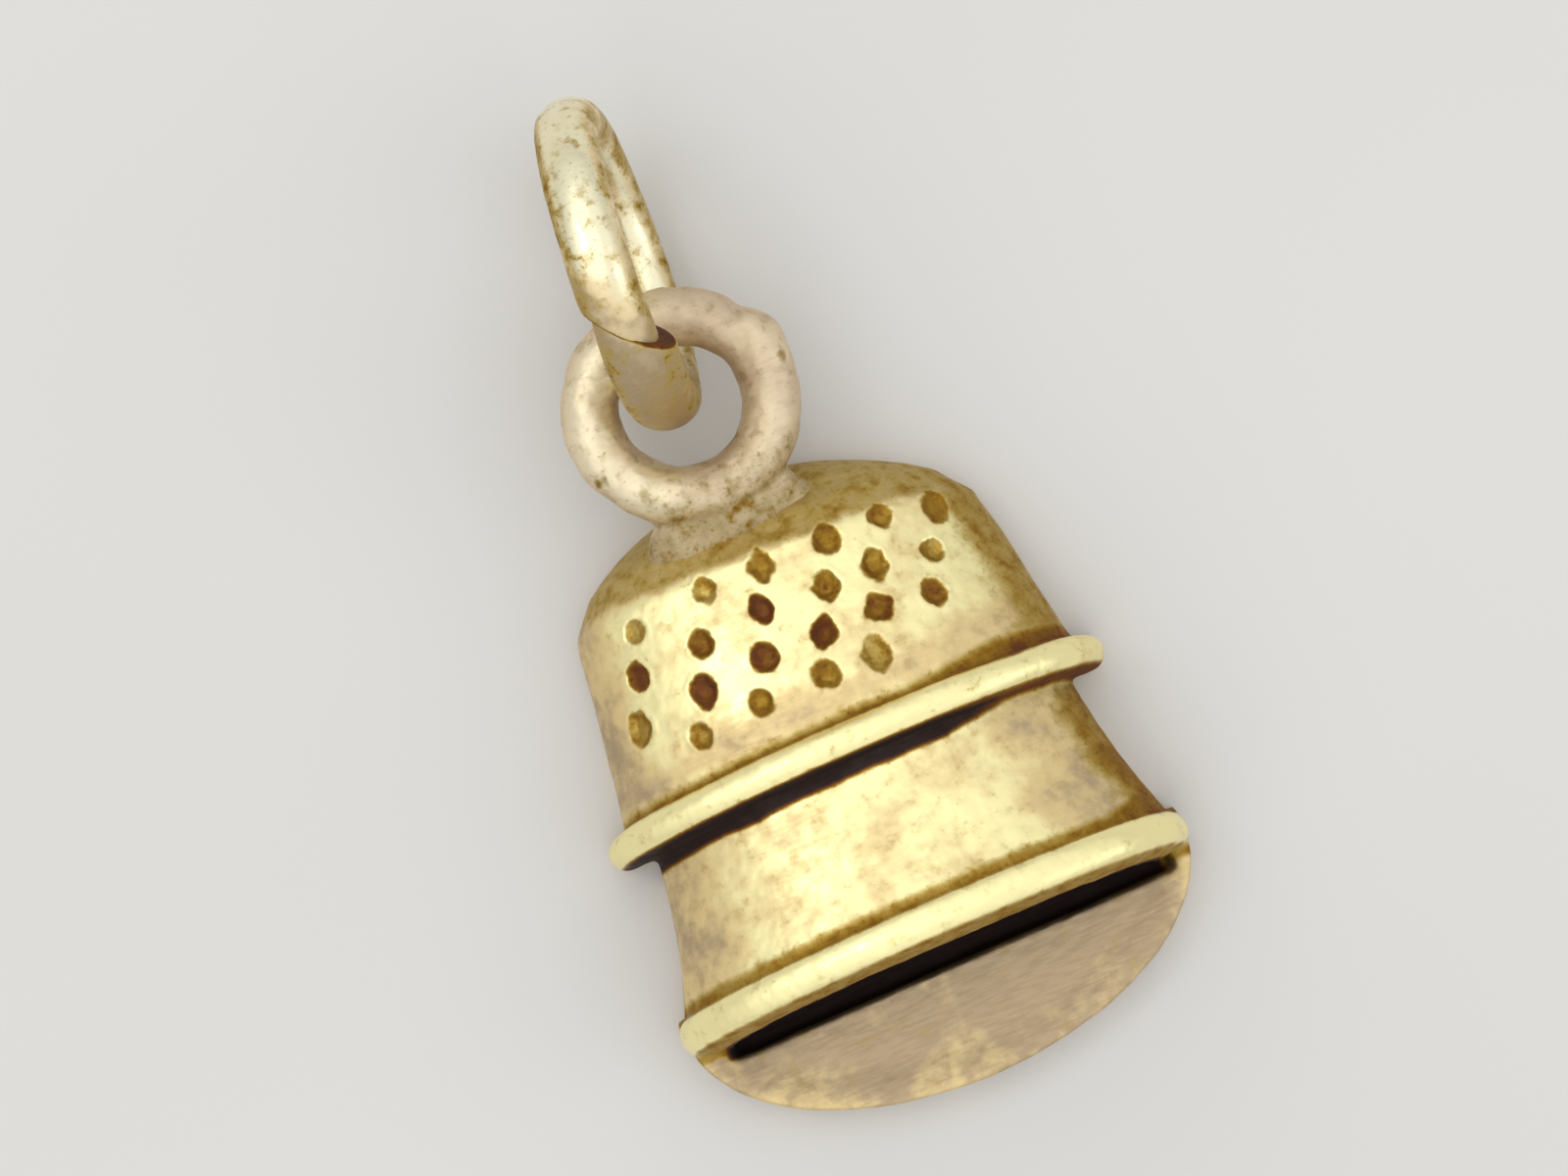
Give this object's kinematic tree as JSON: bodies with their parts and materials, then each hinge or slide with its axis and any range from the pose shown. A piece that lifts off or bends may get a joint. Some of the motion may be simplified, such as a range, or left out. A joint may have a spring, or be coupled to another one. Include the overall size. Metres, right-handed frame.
{
  "type": "thimble charm",
  "caption": "Half-round cast relief of a dimpled sewing thimble with a flat back and open mouth, on a closed hanging eye with a split jump ring.",
  "frame": {"origin": "on the flat back, under the middle of the lower bead", "axes": "+Z out of the relief, away from the flat back; +Y from the mouth to the crown and on to the jump ring; +X across the charm"},
  "size_m": [0.0104, 0.02, 0.0065],
  "materials": {
    "cast_brass": "worn antique, polished on the high spots, dark in the hollows",
    "eye_brass": "dull antique, as cast",
    "wire_brass": "satin drawn wire, dulled at the seam"
  },
  "bodies": {
    "thimble": {"thimble_body": "cast_brass", "hanging_eye": "eye_brass"},
    "ring": {"jump_ring": "wire_brass"}
  },
  "joints": [
    {"name": "ring_swing", "type": "hinge", "parent": "thimble", "child": "ring", "pos_m": [-0.0004, 0.01269, 0.0022], "axis": [0.9915, -0.078, 0.1045], "range_deg": [-120, 35]}
  ]
}
